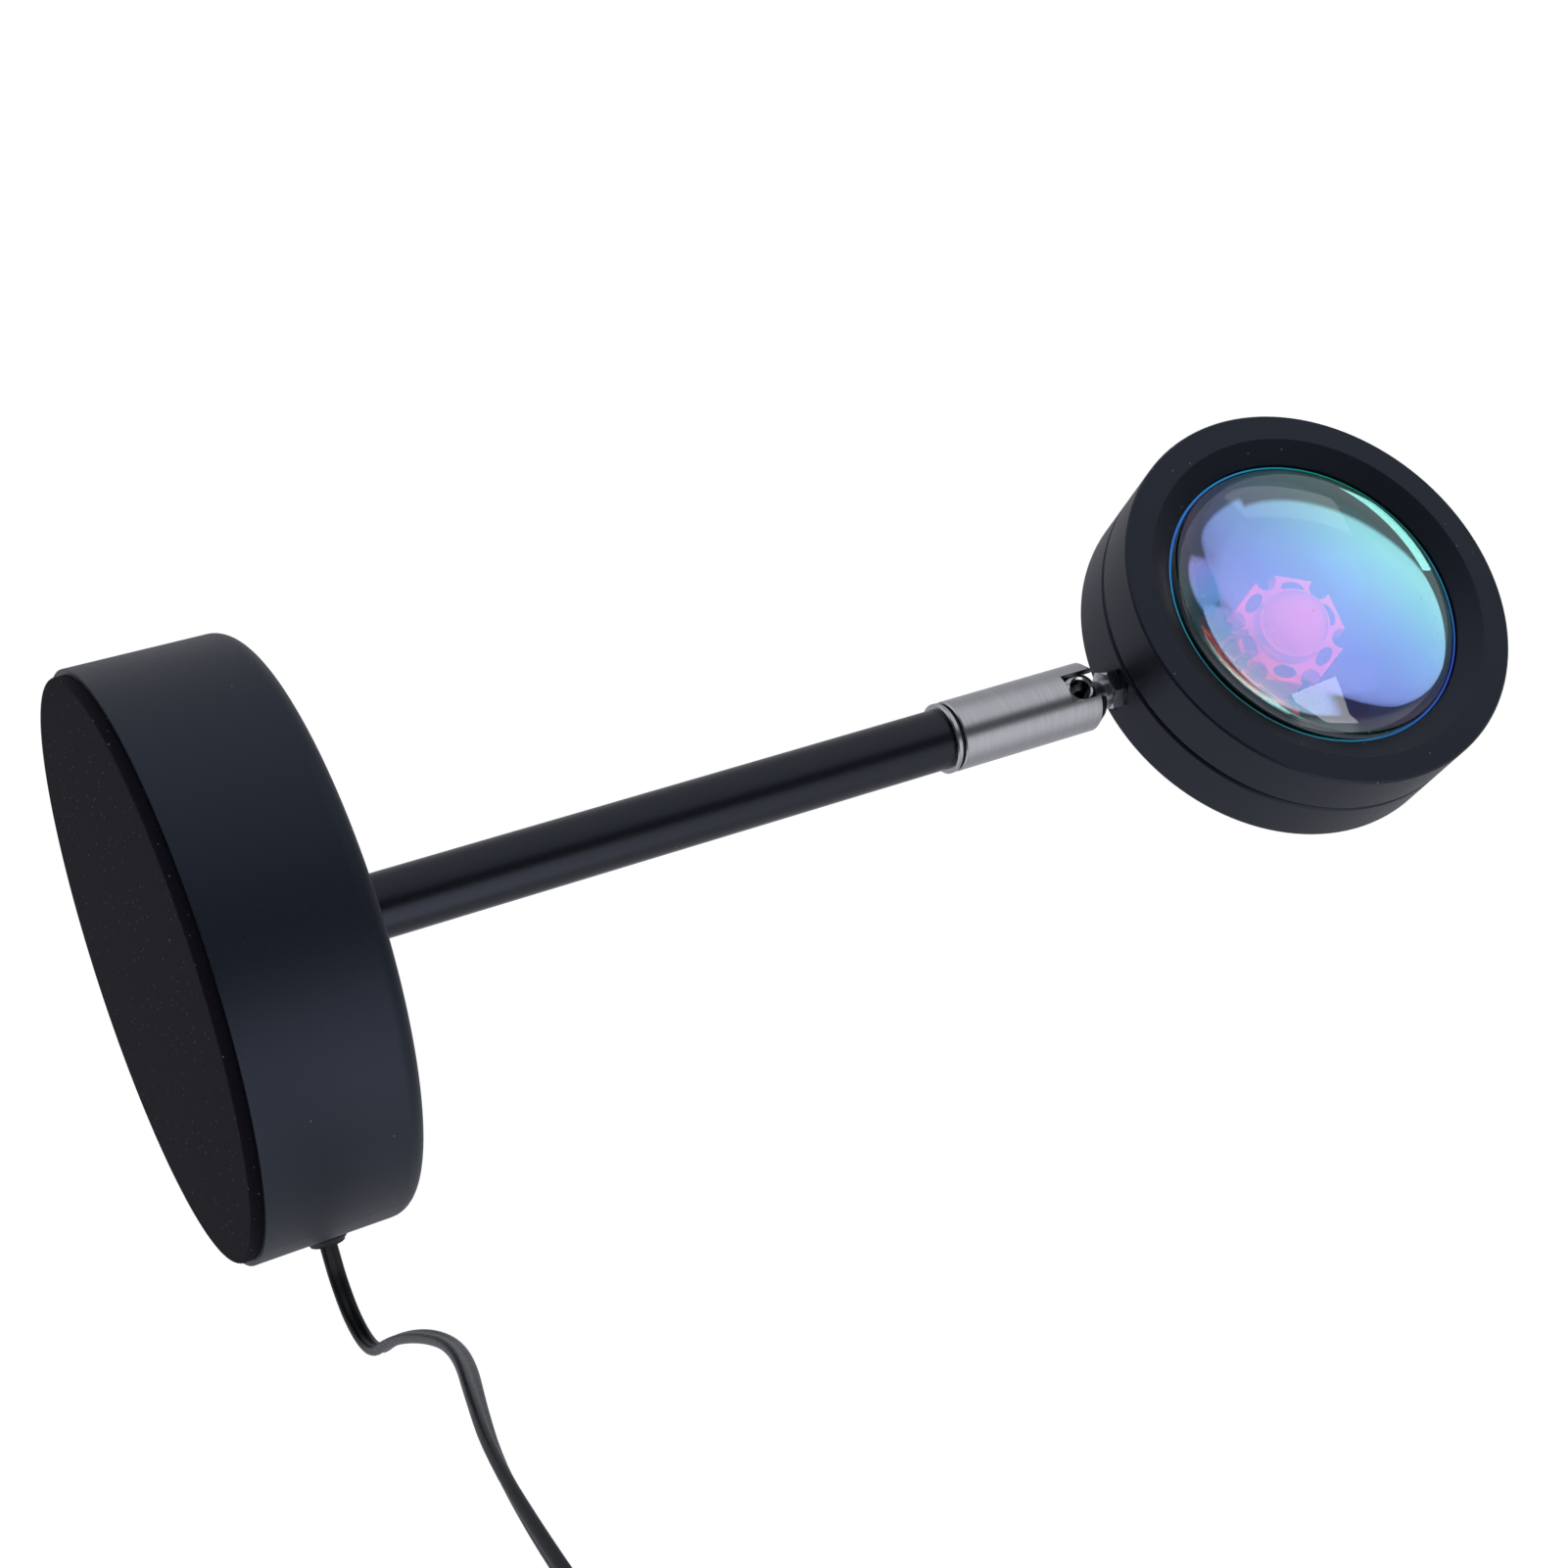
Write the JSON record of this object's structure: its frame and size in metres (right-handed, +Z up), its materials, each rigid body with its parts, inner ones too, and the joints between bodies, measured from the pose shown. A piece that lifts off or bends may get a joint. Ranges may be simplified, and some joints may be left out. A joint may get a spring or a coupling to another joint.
{
  "type": "projection lamp",
  "caption": "Small table projection lamp: weighted round base, slim upright stem, slotted ball swivel and a flat round head with a domed lens over a colour filter.",
  "frame": {"origin": "middle of the base pad's underside, on the floor", "axes": "+Z up the stem, lens looks along -Y at rest"},
  "size_m": [0.2461, 0.1838, 0.288],
  "materials": {
    "black_shell": "satin black lacquer",
    "head_black": "turned, anodised black, fine matt",
    "pad_foam": "soft closed-cell pad, matt",
    "base_iron": "as cast",
    "zinc_steel": "zinc plated",
    "nickel": "brushed nickel plate",
    "neck_chrome": "bright plated",
    "brass": "turned",
    "nylon": "moulded nylon",
    "lens_glass": "polished",
    "filter_glass": "dichroic coated, violet to cyan",
    "gasket": "matt",
    "retainer": "anodised black",
    "thermal": "thermal sheet",
    "board": "white mask on metal core",
    "led_housing": "moulded",
    "led_silicone": "clear silicone over phosphor",
    "lead_wire": "insulated wire",
    "cord": "soft twin lead, satin",
    "tie": "coated flat wire",
    "plug": "moulded",
    "plug_steel": "nickel plated steel",
    "tongue": "moulded"
  },
  "bodies": {
    "stand": {"base_pad": "pad_foam", "base_plate": "zinc_steel", "base_weight": "base_iron", "base_shell": "black_shell", "cord_grommet": "gasket", "stem_lead": "cord", "stem_nipple": "zinc_steel", "stem_washer": "zinc_steel", "stem_nut": "zinc_steel", "stem_tube": "black_shell", "stem_bush": "brass", "swivel_collar": "nickel", "swivel_washer": "nylon", "swivel_post": "brass", "post_nut": "brass", "cord_run": "cord", "cord_coil": "cord", "cord_tie": "tie", "plug_body": "plug", "plug_shell": "plug_steel", "plug_tongue": "tongue"},
    "swivel": {"swivel_sleeve": "nickel", "sleeve_bush": "brass", "ball_seat": "nylon", "seat_spring": "zinc_steel", "seat_ring": "zinc_steel"},
    "head": {"swivel_ball": "nickel", "neck_nut": "neck_chrome", "neck_inner_nut": "zinc_steel", "head_rear_cup": "head_black", "head_front_ring": "head_black", "lens": "lens_glass", "lens_gasket": "gasket", "colour_filter": "filter_glass", "lens_retainer": "retainer", "thermal_pad": "thermal", "led_board": "board", "led_body": "led_housing", "led_dome": "led_silicone", "led_leads": "lead_wire"}
  },
  "joints": [
    {"name": "head_swivel", "type": "hinge", "parent": "stand", "child": "swivel", "pos_m": [0, 0, 0.1915], "axis": [0, 0, 1], "range_deg": [-175, 175]},
    {"name": "head_tilt", "type": "hinge", "parent": "swivel", "child": "head", "pos_m": [0, 0, 0.1915], "axis": [1, 0, 0], "range_deg": [-15, 90]}
  ]
}
